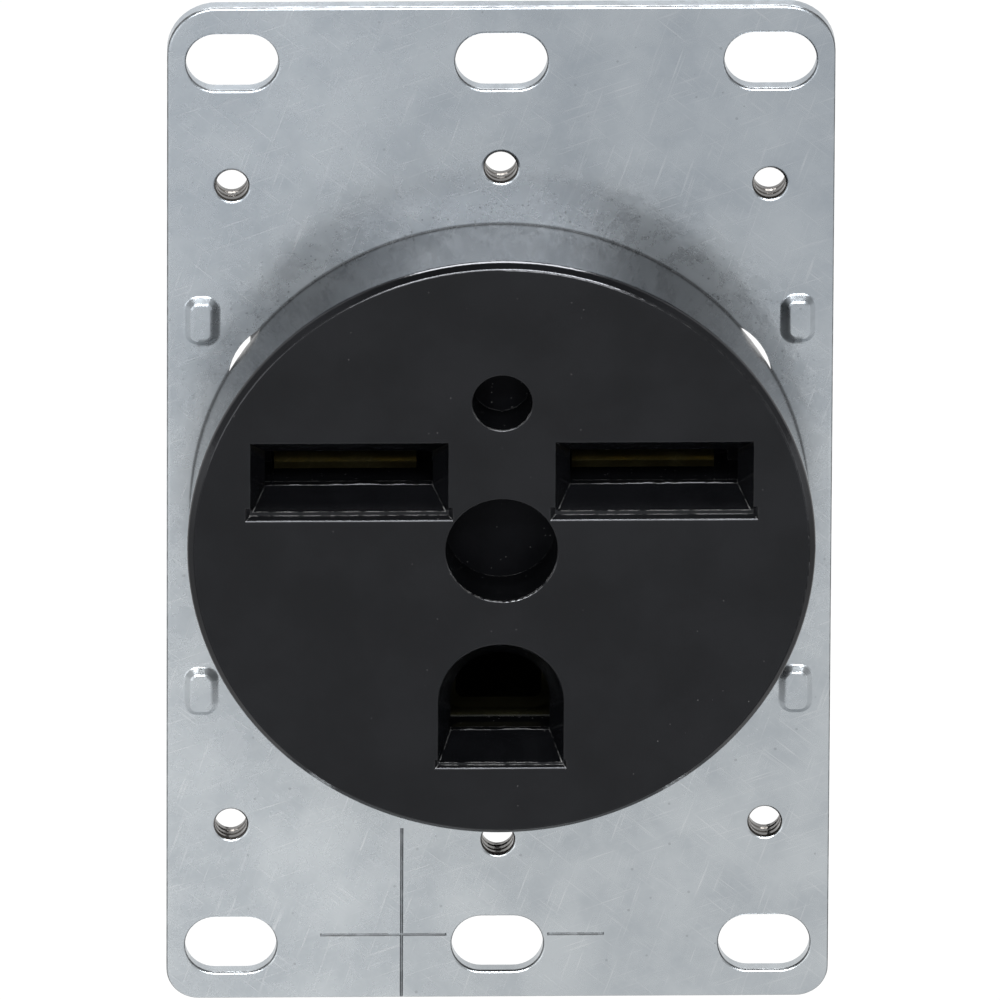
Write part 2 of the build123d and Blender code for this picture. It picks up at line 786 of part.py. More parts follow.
# Rivets that bond the ground contact to the strap
for name, sign in sides.items():
    rivet_place = (sign * rivet_spacing / 2, rivet_height)
    with BuildPart() as ground_rivet:
        with BuildSketch(at_depth(ground_trough_thickness)):
            with Locations(rivet_place):
                Circle(rivet_radius)
        extrude(amount=ground_trough_thickness + strap_thickness)
        with BuildSketch(at_depth(strap_front)):
            with Locations(rivet_place):
                Circle(rivet_head_radius)
        extrude(amount=rivet_head_height)
        with BuildSketch(at_depth(ground_trough_thickness)):
            with Locations(rivet_place):
                Circle(rivet_head_radius)
        extrude(amount=-rivet_head_height)
        head_rims = ground_rivet.edges().filter_by(GeomType.CIRCLE).sort_by(Axis.Y)
        fillet([head_rims[0], head_rims[-1]], rivet_head_height / 2)
    finish(ground_rivet.part, f"ground_rivet_{name}")

# Assembly screws, driven from the rear through the flange and the strap into the face
rows = {"upper": 1, "lower": -1}
for row, up in rows.items():
    for name, sign in sides.items():
        screw_place = (sign * assembly_spacing_x / 2, up * assembly_spacing_z / 2)
        with BuildPart() as assembly_screw:
            with BuildSketch(at_depth(flange_thickness)):
                with Locations(screw_place):
                    Circle(assembly_screw_radius)
            extrude(amount=flange_thickness + strap_thickness + assembly_screw_reach)
            with BuildSketch(at_depth(flange_thickness)):
                with Locations(screw_place):
                    Circle(assembly_head_radius)
            extrude(amount=-assembly_head_height)
            fillet(assembly_screw.edges().filter_by(GeomType.CIRCLE).sort_by(Axis.Y)[-1], assembly_head_round)
            with BuildSketch(at_depth(flange_thickness + assembly_head_height)):
                with Locations(screw_place):
                    Rectangle(assembly_recess_length, assembly_recess_width)
                    Rectangle(assembly_recess_width, assembly_recess_length)
            extrude(amount=assembly_recess_depth, mode=Mode.SUBTRACT)
        finish(assembly_screw.part, f"assembly_screw_{row}_{name}")
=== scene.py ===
"""Look of a flush-mount straight blade receptacle: finishes, moulding flash, studio and camera.

Every length is in metres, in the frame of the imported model: X is the width, +Z is up, the face looks
along -Y and the origin is the centre of the strap's back. Fields of a finish that hold a place are in
millimetres of the same frame, because the shaders measure in millimetres.
"""

import logging
import math
import random
from collections.abc import Sequence
from dataclasses import dataclass, field
from enum import Enum

import bmesh
import bpy
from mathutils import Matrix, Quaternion, Vector


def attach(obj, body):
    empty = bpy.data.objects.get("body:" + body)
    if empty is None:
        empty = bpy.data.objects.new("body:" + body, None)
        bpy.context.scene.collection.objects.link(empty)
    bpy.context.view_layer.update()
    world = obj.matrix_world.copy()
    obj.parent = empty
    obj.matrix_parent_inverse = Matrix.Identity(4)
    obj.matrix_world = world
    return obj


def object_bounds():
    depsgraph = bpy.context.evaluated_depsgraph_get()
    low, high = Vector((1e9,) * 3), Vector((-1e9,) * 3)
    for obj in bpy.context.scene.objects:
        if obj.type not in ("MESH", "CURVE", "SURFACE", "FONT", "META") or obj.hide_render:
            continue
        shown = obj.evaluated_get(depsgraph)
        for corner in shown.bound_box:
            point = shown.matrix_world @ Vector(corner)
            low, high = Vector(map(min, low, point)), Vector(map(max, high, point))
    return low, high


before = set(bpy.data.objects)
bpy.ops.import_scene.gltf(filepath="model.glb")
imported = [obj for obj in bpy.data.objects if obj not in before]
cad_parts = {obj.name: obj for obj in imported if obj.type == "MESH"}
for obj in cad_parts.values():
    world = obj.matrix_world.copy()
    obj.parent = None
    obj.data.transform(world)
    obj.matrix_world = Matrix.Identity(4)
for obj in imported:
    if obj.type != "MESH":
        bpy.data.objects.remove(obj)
cad_low, cad_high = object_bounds()

log = logging.getLogger("receptacle")

MM = 0.001
Colour = tuple[float, float, float]
Point = tuple[float, float, float]
# Across the width and height, in millimetres: four holes at the corners and two on the centre line
TAPPED_HOLES = (
    (-23.02, 30.165),
    (23.02, 30.165),
    (-23.02, -30.165),
    (23.02, -30.165),
    (0.0, 31.75),
    (0.0, -31.75),
)


class Slot(Enum):
    """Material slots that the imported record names."""

    STRAP = "strap_steel"
    FACE = "face_plastic"
    BASE = "base_plastic"
    BRASS = "contact_brass"
    SPRING = "spring_steel"
    LUG = "lug_aluminium"
    PLATE = "plate_steel"
    SCREW = "screw_steel"
    RIVET = "rivet_steel"
    GROUND_SCREW = "ground_screw_green"


class NodeSheet:
    """Lays shader nodes in one tree, with a call for each node."""

    def __init__(self, tree: bpy.types.NodeTree) -> None:
        """Start on a tree.

        Args:
            tree: The node tree of a material, a world or a group.
        """
        self.tree = tree
        self.count = 0

    def add(
        self, kind: str, inputs: dict[str | int, object] | None = None, **settings: object
    ) -> bpy.types.Node:
        """Add a node, set its properties and fill its sockets.

        Args:
            kind: Node type, without the leading "ShaderNode".
            inputs: Socket name or number, to a plain value or to the socket that feeds it.
            **settings: Properties of the node itself.

        Returns:
            The new node.
        """
        node = self.tree.nodes.new(f"ShaderNode{kind}")
        node.location = (220 * (self.count % 8), -240 * (self.count // 8))
        self.count += 1
        for name, value in settings.items():
            setattr(node, name, value)
        for key, value in (inputs or {}).items():
            if isinstance(value, bpy.types.NodeSocket):
                self.tree.links.new(value, node.inputs[key])
            elif isinstance(value, tuple) and len(value) == 3 and node.inputs[key].type == "RGBA":
                node.inputs[key].default_value = (*value, 1.0)
            else:
                node.inputs[key].default_value = value
        return node

    def maths(self, operation: str, *terms: object) -> bpy.types.NodeSocket:
        """Work out one number from others.

        Args:
            operation: Name of the operation, such as "MULTIPLY".
            *terms: Numbers or sockets, in the node's own order.

        Returns:
            The result's socket.
        """
        return self.add("Math", dict(enumerate(terms)), operation=operation).outputs[0]

    def product(self, first: object, *others: object) -> bpy.types.NodeSocket:
        """Multiply two or more numbers.

        Args:
            first: Number or socket.
            *others: Numbers or sockets.

        Returns:
            The result's socket.
        """
        result = first
        for other in others:
            result = self.maths("MULTIPLY", result, other)
        return result

    def shift(self, value: object, mask: object, by: float) -> bpy.types.NodeSocket:
        """Raise or lower a value where a mask shows.

        Args:
            value: The number or socket to shift.
            mask: Where the shift shows, from 0 to 1.
            by: The shift where the mask is 1.

        Returns:
            The result's socket.
        """
        return self.maths("ADD", value, self.maths("MULTIPLY", mask, by))

    def vector(self, operation: str, *terms: object, output: str = "Vector") -> bpy.types.NodeSocket:
        """Work out a vector, or a number from vectors.

        Args:
            operation: Name of the operation, such as "SUBTRACT".
            *terms: Vectors or sockets, in the node's own order.
            output: Name of the output wanted.

        Returns:
            The result's socket.
        """
        return self.add("VectorMath", dict(enumerate(terms)), operation=operation).outputs[output]

    def ramp(
        self, value: object, low: object, high: object, start: object = 0.0, end: object = 1.0
    ) -> bpy.types.NodeSocket:
        """Spread a span of values smoothly over another span.

        Args:
            value: The number or socket to spread.
            low: Value that gives start.
            high: Value that gives end.
            start: Result at low and below.
            end: Result at high and above.

        Returns:
            The result's socket.
        """
        spread = self.add(
            "MapRange",
            {"Value": value, "From Min": low, "From Max": high, "To Min": start, "To Max": end},
            interpolation_type="SMOOTHSTEP",
        )
        return spread.outputs["Result"]

    def mix(self, share: object, first: object, second: object) -> bpy.types.NodeSocket:
        """Mix two colours.

        Args:
            share: How much of the second colour shows, from 0 to 1.
            first: Colour or socket.
            second: Colour or socket.

        Returns:
            The mixed colour's socket.
        """
        node = self.add("Mix", {"Factor": share}, data_type="RGBA")
        for place, colour in ((6, first), (7, second)):
            if isinstance(colour, bpy.types.NodeSocket):
                self.tree.links.new(colour, node.inputs[place])
            else:
                node.inputs[place].default_value = (*colour, 1.0)
        return node.outputs[2]

    def tint(self, colour: object, other: object, mask: object, share: float) -> bpy.types.NodeSocket:
        """Lay a partial coat of another colour where a mask shows.

        Args:
            colour: Colour or socket underneath.
            other: Colour or socket of the coat.
            mask: Where the coat shows, from 0 to 1.
            share: How much it covers where the mask is 1.

        Returns:
            The colour's socket.
        """
        return self.mix(self.maths("MULTIPLY", mask, share), colour, other)

    def millimetres(self) -> bpy.types.NodeSocket:
        """Give the place on the object, in millimetres of the model's frame.

        Returns:
            The place's socket.
        """
        place = self.add("TexCoord").outputs["Object"]
        return self.vector("MULTIPLY", place, (1 / MM, 1 / MM, 1 / MM))

    def axes(self, vector: bpy.types.NodeSocket) -> bpy.types.bpy_prop_collection:
        """Split a vector.

        Args:
            vector: The vector's socket.

        Returns:
            Its sockets by the names "X", "Y" and "Z".
        """
        return self.add("SeparateXYZ", {"Vector": vector}).outputs

    def front_view(self, axes: bpy.types.bpy_prop_collection) -> bpy.types.NodeSocket:
        """Give the place as seen from the front, without its depth.

        Args:
            axes: Sockets of the place, by axis.

        Returns:
            The flattened place's socket.
        """
        return self.add("CombineXYZ", {"X": axes["X"], "Z": axes["Z"]}).outputs["Vector"]

    def normal_axes(self) -> bpy.types.bpy_prop_collection:
        """Split the surface's own direction.

        Returns:
            Its sockets by the names "X", "Y" and "Z".
        """
        return self.axes(self.add("NewGeometry").outputs["Normal"])


@dataclass
class Effects:
    """Shader groups that several finishes share, each built once."""

    groups: dict[str, bpy.types.NodeTree] = field(default_factory=dict)

    def _start(
        self, name: str, numbers: Sequence[tuple[str, float]]
    ) -> tuple[NodeSheet, bpy.types.Node, bpy.types.Node]:
        """Make an empty group with a Vector and some numbers in and a Mask out.

        Args:
            name: Name of the group.
            numbers: Name and default of each number that it takes.

        Returns:
            The sheet, the input node and the output node.
        """
        tree = bpy.data.node_groups.new(name, "ShaderNodeTree")
        tree.interface.new_socket("Vector", in_out="INPUT", socket_type="NodeSocketVector")
        for label, default in numbers:
            socket = tree.interface.new_socket(label, in_out="INPUT", socket_type="NodeSocketFloat")
            socket.default_value = default
        tree.interface.new_socket("Mask", in_out="OUTPUT", socket_type="NodeSocketFloat")
        self.groups[name] = tree
        return NodeSheet(tree), tree.nodes.new("NodeGroupInput"), tree.nodes.new("NodeGroupOutput")

    def build(self) -> None:
        """Build every shared group."""
        self._build_mottle()
        self._build_scratches()
        self._build_specks()
        self._build_wear()

    def _build_mottle(self) -> None:
        """Cloudy patches, such as stains on metal or flow marks in plastic."""
        sheet, given, result = self._start("mottle", [("Scale", 0.4), ("Low", 0.4), ("High", 0.6)])
        warp = sheet.add("TexNoise", {"Vector": given.outputs["Vector"], "Scale": 0.5, "Detail": 2.0})
        bent = sheet.vector("ADD", given.outputs["Vector"], warp.outputs["Color"])
        cloud = sheet.add(
            "TexNoise",
            {"Vector": bent, "Scale": given.outputs["Scale"], "Detail": 5.0, "Roughness": 0.6},
        )
        mask = sheet.ramp(cloud.outputs["Fac"], given.outputs["Low"], given.outputs["High"])
        sheet.tree.links.new(mask, result.inputs["Mask"])

    def _build_scratches(self) -> None:
        """Short hairline scratches in three directions across the width and height."""
        sheet, given, result = self._start("scratches", [("Scale", 1.0), ("Share", 0.2)])
        threshold = sheet.maths("SUBTRACT", 0.8, given.outputs["Share"])
        found = None
        for angle, stretch in ((0.35, 14.0), (1.25, 10.0), (-0.7, 18.0)):
            turned = sheet.add(
                "VectorRotate",
                {"Vector": given.outputs["Vector"], "Axis": (0.0, 1.0, 0.0), "Angle": angle},
                rotation_type="AXIS_ANGLE",
            )
            drawn = sheet.vector("MULTIPLY", turned.outputs["Vector"], (0.35, 1.0, stretch))
            streak = sheet.add(
                "TexNoise",
                {"Vector": drawn, "Scale": given.outputs["Scale"], "Detail": 2.0, "Roughness": 0.4},
            )
            line = sheet.add(
                "MapRange",
                {"Value": streak.outputs["Fac"], "From Min": threshold, "From Max": 0.78},
            ).outputs["Result"]
            found = line if found is None else sheet.maths("MAXIMUM", found, line)
        sheet.tree.links.new(found, result.inputs["Mask"])

    def _build_specks(self) -> None:
        """Scattered round specks, such as dust, pits or burrs."""
        sheet, given, result = self._start("specks", [("Scale", 1.0), ("Size", 0.15), ("Share", 0.3)])
        cells = sheet.add(
            "TexVoronoi", {"Vector": given.outputs["Vector"], "Scale": given.outputs["Scale"]}
        )
        inside = sheet.maths("LESS_THAN", cells.outputs["Distance"], given.outputs["Size"])
        pick = sheet.add("SeparateColor", {"Color": cells.outputs["Color"]}).outputs["Red"]
        kept = sheet.maths("LESS_THAN", pick, given.outputs["Share"])
        sheet.tree.links.new(sheet.product(inside, kept), result.inputs["Mask"])

    def _build_wear(self) -> None:
        """Outer and inner edges, broken up by a cloudy pattern."""
        sheet, given, result = self._start("wear", [("Width", 0.3), ("Scale", 2.0)])
        width = sheet.maths("MULTIPLY", given.outputs["Width"], MM)
        rounded = sheet.add("Bevel", {"Radius": width}, samples=2).outputs["Normal"]
        plain = sheet.add("NewGeometry").outputs["Normal"]
        turn = sheet.vector("DOT_PRODUCT", rounded, plain, output="Value")
        edge = sheet.ramp(turn, 0.99, 0.75)
        cloud = sheet.add(
            "TexNoise",
            {"Vector": given.outputs["Vector"], "Scale": given.outputs["Scale"], "Detail": 4.0},
        )
        patches = sheet.ramp(cloud.outputs["Fac"], 0.35, 0.6)
        sheet.tree.links.new(sheet.product(edge, patches), result.inputs["Mask"])

    def place(
        self, sheet: NodeSheet, name: str, vector: bpy.types.NodeSocket, **numbers: float
    ) -> bpy.types.NodeSocket:
        """Put a shared group in a material.

        Args:
            sheet: The material's sheet.
            name: Name of the group.
            vector: Place on the object, in millimetres.
            **numbers: The group's numbers for this material.

        Returns:
            The group's mask.
        """
        node = sheet.tree.nodes.new("ShaderNodeGroup")
        node.node_tree = self.groups[name]
        sheet.tree.links.new(vector, node.inputs["Vector"])
        for label, value in numbers.items():
            node.inputs[label.capitalize()].default_value = value
        return node.outputs["Mask"]


def start_material(name: str) -> tuple[bpy.types.Material, NodeSheet, bpy.types.Node]:
    """Make a material with its shader in place.

    Args:
        name: Name of the material.

    Returns:
        The material, the sheet of its node tree and its Principled shader.
    """
    material = bpy.data.materials.new(name)
    material.use_nodes = True
    material.node_tree.nodes.clear()
    sheet = NodeSheet(material.node_tree)
    shader = sheet.add("BsdfPrincipled")
    sheet.add("OutputMaterial", {"Surface": shader.outputs["BSDF"]})
    return material, sheet, shader


def connect(sheet: NodeSheet, shader: bpy.types.Node, **sockets: bpy.types.NodeSocket) -> None:
    """Feed a shader's sockets.

    Args:
        sheet: The sheet that holds the shader.
        shader: The shader.
        **sockets: Socket of the shader, with "_" for a space, to what feeds it.
    """
    for label, source in sockets.items():
        sheet.tree.links.new(source, shader.inputs[label.replace("_", " ")])


@dataclass(frozen=True)
class ZincStrapFinish:
    """Zinc-plated stamped steel: satin, cloudy, finely scratched and pitted near the face."""

    pale: Colour = (0.47, 0.50, 0.52)
    dull: Colour = (0.38, 0.41, 0.435)
    # Dark blue-grey, laid in patches above the face and to its left
    dark_tone: Colour = (0.15, 0.175, 0.2)
    # The pit colour darkens the pits and dots, and is also painted as shade in the crevice round the
    # foot of the face
    pit_and_crevice_shade: Colour = (0.08, 0.085, 0.09)
    worn: Colour = (0.72, 0.73, 0.74)
    # The shade colour is a painted shade over the upper part of the strap
    shade: Colour = (0.0, 0.045, 0.12)
    # The rolled colour is a painted shade on the rounded edges, which dims their highlight
    rolled: Colour = (0.085, 0.088, 0.092)
    # The bore colour is a painted shade inside the threaded holes
    bore: Colour = (0.12, 0.11, 0.10)
    bore_edge: float = 1.45
    bore_blur: float = 0.1
    joint_radius: float = 26.55
    joint_blur: float = 0.18
    near_face_outer: float = 33.0
    near_face_inner: float = 26.5
    chalk_share: float = 0.14

    def build(self, effects: Effects) -> bpy.types.Material:
        """Make the material.

        Args:
            effects: The shared groups.

        Returns:
            The material.
        """
        material, sheet, shader = start_material("zinc_plated_strap")
        place = sheet.millimetres()
        axes = sheet.axes(place)
        flat = sheet.front_view(axes)
        out = sheet.vector("LENGTH", flat, output="Value")
        near_face = sheet.ramp(out, self.near_face_outer, self.near_face_inner)
        clouds = effects.place(sheet, "mottle", place, scale=0.11, low=0.32, high=0.68)
        spangle = effects.place(sheet, "mottle", place, scale=0.75, low=0.36, high=0.66)
        scratches = effects.place(sheet, "scratches", place, scale=0.55, share=0.16)
        rolled = self._shaded_edges(effects, sheet, place)
        shaded_bores = self._bores(sheet, flat)

        colour = sheet.mix(clouds, self.dull, self.pale)
        colour = sheet.tint(colour, self.pale, spangle, share=0.35)
        colour = sheet.tint(colour, self.worn, scratches, share=0.28)
        # Painted shade: the strap grows darker and bluer towards the top
        top_shade = sheet.ramp(axes["Z"], -32.0, 36.0)
        colour = sheet.mix(top_shade, colour, sheet.mix(0.2, colour, self.shade))
        colour = self._darken_and_pit(effects, sheet, place, colour, near_face)
        wear = effects.place(sheet, "wear", place, width=0.35, scale=1.3)
        colour = sheet.tint(colour, self.worn, wear, share=0.22)
        # Painted shade: a dark line in the crevice round the foot of the face
        joint_shade = sheet.ramp(out, self.joint_radius + self.joint_blur, self.joint_radius)
        colour = sheet.tint(colour, self.pit_and_crevice_shade, joint_shade, share=0.8)
        # Painted shade on the rounded edges, which dims their highlight
        colour = sheet.mix(rolled, colour, self.rolled)
        # Painted shade inside the threaded holes
        colour = sheet.tint(colour, self.bore, shaded_bores, share=0.85)

        rough = sheet.ramp(spangle, 0.0, 1.0, start=0.31, end=0.25)
        rough = sheet.shift(rough, scratches, by=-0.05)
        rough = sheet.shift(rough, shaded_bores, by=-0.16)
        rough = sheet.shift(rough, rolled, by=0.15)
        chalky = sheet.maths("MULTIPLY", near_face, self.chalk_share)
        leftward = sheet.ramp(axes["X"], 8.0, -22.0, start=0.0, end=self.chalk_share)
        metal = sheet.maths("SUBTRACT", 1.0, sheet.maths("ADD", chalky, leftward))
        height = sheet.shift(clouds, scratches, by=-0.04)
        bump = sheet.add("Bump", {"Height": height, "Strength": 0.5, "Distance": 0.05 * MM})
        connect(
            sheet,
            shader,
            Base_Color=colour,
            Roughness=rough,
            Metallic=metal,
            Normal=bump.outputs["Normal"],
        )
        return material

    def _darken_and_pit(
        self,
        effects: Effects,
        sheet: NodeSheet,
        place: bpy.types.NodeSocket,
        colour: bpy.types.NodeSocket,
        near_face: bpy.types.NodeSocket,
    ) -> bpy.types.NodeSocket:
        """Darken the strap in patches and mark it with pits, most of all above the face and to its
        left.

        Args:
            effects: The shared groups.
            sheet: The material's sheet.
            place: Place on the object, in millimetres.
            colour: The colour before the darkening and the pits.
            near_face: How near the face a point lies, from 0 to 1.

        Returns:
            The darkened colour's socket.
        """
        axes = sheet.axes(place)
        above_face = sheet.product(near_face, sheet.ramp(axes["Z"], 4.0, 18.0))
        leftward = sheet.ramp(axes["X"], 6.0, -16.0, start=0.05, end=1.0)
        patchy = effects.place(sheet, "mottle", place, scale=0.3, low=0.35, high=0.7)
        pits = effects.place(sheet, "specks", place, scale=2.2, size=0.22, share=0.3)
        dots = effects.place(sheet, "specks", place, scale=0.55, size=0.07, share=0.5)
        # Darker and bluer in patches above the face, most of all to its left
        colour = sheet.tint(colour, self.dark_tone, sheet.product(above_face, patchy, leftward), share=0.42)
        colour = sheet.tint(colour, self.pit_and_crevice_shade, sheet.product(pits, above_face), share=0.55)
        return sheet.tint(colour, self.pit_and_crevice_shade, dots, share=0.25)

    def _shaded_edges(
        self, effects: Effects, sheet: NodeSheet, place: bpy.types.NodeSocket
    ) -> bpy.types.NodeSocket:
        """Find the rounded edges, which lean between the flat front and the sheared sides, where
        painted shade dims their highlight.

        Args:
            effects: The shared groups.
            sheet: The material's sheet.
            place: Place on the object, in millimetres.

        Returns:
            The mask's socket, which is patchy along the edges.
        """
        lean = sheet.maths("ABSOLUTE", sheet.normal_axes()["Y"])
        off_front = sheet.ramp(lean, 0.82, 0.6)
        off_side = sheet.ramp(lean, 0.08, 0.25)
        bare = effects.place(sheet, "mottle", place, scale=0.9, low=0.35, high=0.6)
        return sheet.product(off_front, off_side, sheet.ramp(bare, 0.0, 1.0, start=0.7, end=1.0))

    def _bores(self, sheet: NodeSheet, flat: bpy.types.NodeSocket) -> bpy.types.NodeSocket:
        """Find the insides of the threaded holes.

        Args:
            sheet: The material's sheet.
            flat: Place as seen from the front, in millimetres.

        Returns:
            The mask's socket.
        """
        nearest = None
        for x, z in TAPPED_HOLES:
            away = sheet.vector("DISTANCE", flat, (x, 0.0, z), output="Value")
            nearest = away if nearest is None else sheet.maths("MINIMUM", nearest, away)
        return sheet.ramp(nearest, self.bore_edge + self.bore_blur, self.bore_edge)


@dataclass(frozen=True)
class MouldedFinish:
    """Black moulded plastic: semi-matte on the flats, polished where the mould is drawn."""

    name: str
    body: Colour = (0.0013, 0.0014, 0.0017)
    faded: Colour = (0.0028, 0.003, 0.0036)
    dust: Colour = (0.12, 0.12, 0.12)
    # The chalk colour is a painted highlight on the worn edges that face up
    ledge_highlight: Colour = (0.5, 0.5, 0.5)
    sheen: Colour = (0.91, 0.935, 1.0)
    flat_roughness: float = 0.40
    drawn_roughness: float = 0.11
    flat_gloss: float = 0.225
    drawn_gloss: float = 0.5
    deep_gloss: float = 0.14
    under_gloss: float = 0.35
    sunk_wear: float = 0.25
    deep_start: float = -8.6
    deep_end: float = -6.8
    deep_radius: float = 25.4
    sunk_start: float = -10.1
    sunk_end: float = -9.7

    def build(self, effects: Effects) -> bpy.types.Material:
        """Make the material.

        Args:
            effects: The shared groups.

        Returns:
            The material.
        """
        material, sheet, shader = start_material(self.name)
        place = sheet.millimetres()
        axes = sheet.axes(place)
        normal = sheet.normal_axes()
        flat = sheet.ramp(sheet.maths("ABSOLUTE", normal["Y"]), 0.94, 0.99)
        away = sheet.vector("LENGTH", sheet.front_view(axes), output="Value")
        inside = sheet.maths("LESS_THAN", away, self.deep_radius)
        deep = sheet.product(inside, sheet.ramp(axes["Y"], self.deep_start, self.deep_end))
        sunk = sheet.product(inside, sheet.ramp(axes["Y"], self.sunk_start, self.sunk_end))
        flow = effects.place(sheet, "mottle", place, scale=0.12, low=0.3, high=0.7)
        grain = effects.place(sheet, "mottle", place, scale=3.0, low=0.3, high=0.7)
        scratches = effects.place(sheet, "scratches", place, scale=0.5, share=0.12)

        rough = sheet.ramp(flat, 0.0, 1.0, self.drawn_roughness, self.flat_roughness)
        rough = sheet.maths("ADD", rough, sheet.ramp(flow, 0.0, 1.0, start=-0.03, end=0.03))
        rough = sheet.shift(rough, scratches, by=0.08)
        height = sheet.shift(flow, grain, by=0.25)
        height = sheet.shift(height, scratches, by=-0.1)
        bump = sheet.add("Bump", {"Height": height, "Strength": 0.35, "Distance": 0.03 * MM})
        shader.inputs["Specular Tint"].default_value = (*self.sheen, 1.0)
        connect(
            sheet,
            shader,
            Base_Color=self._colour(effects, sheet, place, flow, deep, sunk),
            Roughness=rough,
            Specular_IOR_Level=self._gloss(sheet, normal["Z"], flat, deep),
            Normal=bump.outputs["Normal"],
        )
        return material

    def _colour(
        self,
        effects: Effects,
        sheet: NodeSheet,
        place: bpy.types.NodeSocket,
        flow: bpy.types.NodeSocket,
        deep: bpy.types.NodeSocket,
        sunk: bpy.types.NodeSocket,
    ) -> bpy.types.NodeSocket:
        """Fade and dust the plastic, grey the edges where it is knocked and paint a highlight on those
        that face up.

        Args:
            effects: The shared groups.
            sheet: The material's sheet.
            place: Place on the object, in millimetres.
            flow: Where the plastic is faded, from 0 to 1.
            deep: How far down inside an opening a point lies, from 0 to 1.
            sunk: Whether it lies below the face at all, from 0 to 1.

        Returns:
            The colour's socket.
        """
        specks = effects.place(sheet, "specks", place, scale=0.9, size=0.045, share=0.35)
        grit = effects.place(sheet, "specks", place, scale=2.4, size=0.11, share=0.3)
        wear = effects.place(sheet, "wear", place, width=0.18, scale=1.5)
        ledge = sheet.ramp(sheet.normal_axes()["Z"], 0.1, 0.55)
        shown = sheet.product(wear, sheet.ramp(sunk, 0.0, 1.0, 1.0, self.sunk_wear))
        colour = sheet.mix(flow, self.body, self.faded)
        colour = sheet.tint(colour, self.dust, specks, share=0.5)
        colour = sheet.tint(colour, self.dust, sheet.product(grit, deep), share=0.6)
        colour = sheet.tint(colour, self.dust, shown, share=0.12)
        # Painted highlight on the worn edges that face up
        return sheet.tint(colour, self.ledge_highlight, sheet.product(shown, ledge), share=0.85)

    def _gloss(
        self,
        sheet: NodeSheet,
        upward: bpy.types.NodeSocket,
        flat: bpy.types.NodeSocket,
        deep: bpy.types.NodeSocket,
    ) -> bpy.types.NodeSocket:
        """Set how much the plastic shines: less on flats, deep down and under ledges.

        Args:
            sheet: The material's sheet.
            upward: The surface's own direction, along the height.
            flat: Where the surface faces straight out, from 0 to 1.
            deep: How far down inside an opening a point lies, from 0 to 1.

        Returns:
            The gloss's socket.
        """
        under = sheet.product(sheet.ramp(upward, 0.35, -0.1), sheet.ramp(flat, 1.0, 0.0))
        return sheet.product(
            sheet.ramp(flat, 0.0, 1.0, self.drawn_gloss, self.flat_gloss),
            sheet.ramp(deep, 0.0, 1.0, 1.0, self.deep_gloss),
            sheet.ramp(under, 0.0, 1.0, 1.0, self.under_gloss),
        )


@dataclass(frozen=True)
class MetalFinish:
    """Plain metal strip, lug or screw: one bare colour with stains, scratches and bright edges.

    A painted shade colour, where one is given, covers the lower part.
    """

    name: str
    bright: Colour
    dull: Colour
    worn: Colour
    roughness: float
    lower_shade: Colour | None = None

    def build(self, effects: Effects) -> bpy.types.Material:
        """Make the material.

        Args:
            effects: The shared groups.

        Returns:
            The material.
        """
        material, sheet, shader = start_material(self.name)
        place = sheet.millimetres()
        clouds = effects.place(sheet, "mottle", place, scale=0.4, low=0.3, high=0.7)
        scratches = effects.place(sheet, "scratches", place, scale=0.9, share=0.16)
        specks = effects.place(sheet, "specks", place, scale=1.6, size=0.1, share=0.2)
        wear = effects.place(sheet, "wear", place, width=0.15, scale=2.0)
        colour = sheet.mix(clouds, self.bright, self.dull)
        colour = sheet.tint(colour, self.dull, specks, share=0.5)
        colour = sheet.tint(colour, self.worn, scratches, share=0.3)
        colour = sheet.tint(colour, self.worn, wear, share=0.5)
        # Painted shade: the lower part goes nearly black
        if self.lower_shade:
            lower = sheet.ramp(sheet.axes(place)["Z"], -6.0, -10.0, start=0.0, end=0.97)
            colour = sheet.mix(lower, colour, self.lower_shade)
        rough = sheet.ramp(clouds, 0.0, 1.0, self.roughness - 0.05, self.roughness + 0.08)
        height = sheet.shift(clouds, scratches, by=-0.3)
        bump = sheet.add("Bump", {"Height": height, "Strength": 0.4, "Distance": 0.02 * MM})
        connect(sheet, shader, Base_Color=colour, Roughness=rough, Normal=bump.outputs["Normal"])
        shader.inputs["Metallic"].default_value = 1.0
        return material


@dataclass(frozen=True)
class CoatedScrewFinish:
    """Green coating on the ground screw, worn through to steel on its edges."""

    coat: Colour = (0.02, 0.19, 0.07)
    deep: Colour = (0.012, 0.12, 0.045)
    bare: Colour = (0.5, 0.5, 0.48)

    def build(self, effects: Effects) -> bpy.types.Material:
        """Make the material.

        Args:
            effects: The shared groups.

        Returns:
            The material.
        """
        material, sheet, shader = start_material("green_coated_screw")
        place = sheet.millimetres()
        clouds = effects.place(sheet, "mottle", place, scale=0.6, low=0.3, high=0.7)
        wear = effects.place(sheet, "wear", place, width=0.14, scale=2.5)
        scratches = effects.place(sheet, "scratches", place, scale=1.0, share=0.18)
        bare = sheet.maths("MAXIMUM", wear, sheet.product(scratches, 0.5))
        colour = sheet.mix(bare, sheet.mix(clouds, self.coat, self.deep), self.bare)
        rough = sheet.ramp(clouds, 0.0, 1.0, 0.28, 0.4)
        bump = sheet.add("Bump", {"Height": bare, "Strength": 0.3, "Distance": -0.02 * MM})
        connect(
            sheet,
            shader,
            Base_Color=colour,
            Roughness=rough,
            Metallic=bare,
            Normal=bump.outputs["Normal"],
        )
        return material


